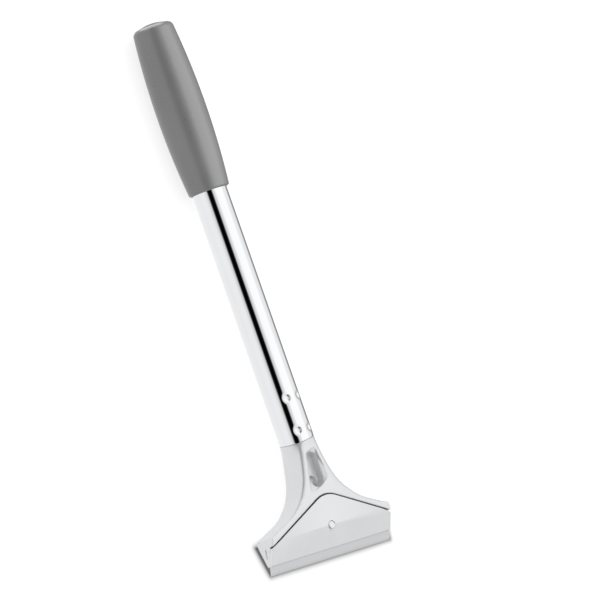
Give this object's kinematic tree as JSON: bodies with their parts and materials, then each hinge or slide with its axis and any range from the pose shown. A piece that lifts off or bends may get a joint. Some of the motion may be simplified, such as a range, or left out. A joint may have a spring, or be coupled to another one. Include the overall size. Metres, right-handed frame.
{
  "type": "long-handled blade scraper",
  "caption": "Hand scraper with a soft barrel grip, a bare steel tube and a cast head that clamps a straight replaceable blade under a screwed plate.",
  "frame": {"origin": "on the handle axis at the seam between the tube and the cast head", "axes": "+Y along the handle towards the grip, +Z out of the face that carries the clamp plate, +X along the blade"},
  "size_m": [0.1, 0.344, 0.0312],
  "materials": {
    "grip_vinyl": "satin smooth soft vinyl",
    "tube_chrome": "bright chrome plate",
    "cast_metal": "satin die casting",
    "plate_metal": "satin die casting",
    "blade_steel": "ground steel",
    "screw_steel": "zinc plated",
    "spring_steel": "drawn wire"
  },
  "bodies": {
    "handle": {"grip": "grip_vinyl", "handle_tube": "tube_chrome", "head_body": "cast_metal", "screw_washer": "screw_steel", "lift_spring": "spring_steel"},
    "screw": {"clamp_screw": "screw_steel"},
    "plate": {"clamp_plate": "plate_metal"},
    "blade": {"blade": "blade_steel"}
  },
  "joints": [
    {"name": "screw_turn", "type": "hinge", "parent": "handle", "child": "screw", "pos_m": [0, -0.0553, 0], "axis": [0, 0, -1], "range_deg": [0, 900]},
    {"name": "plate_lift", "type": "slide", "parent": "handle", "child": "plate", "axis": [0, 0, 1], "range_m": [0, 0.002], "deforming": ["lift_spring"]},
    {"name": "blade_slide", "type": "slide", "parent": "handle", "child": "blade", "axis": [0, -0.9063, -0.4226], "range_m": [0, 0.02]}
  ],
  "couplings": [
    {"joint": "screw_turn", "follows": "plate_lift", "rad_per_m": 7854}
  ]
}
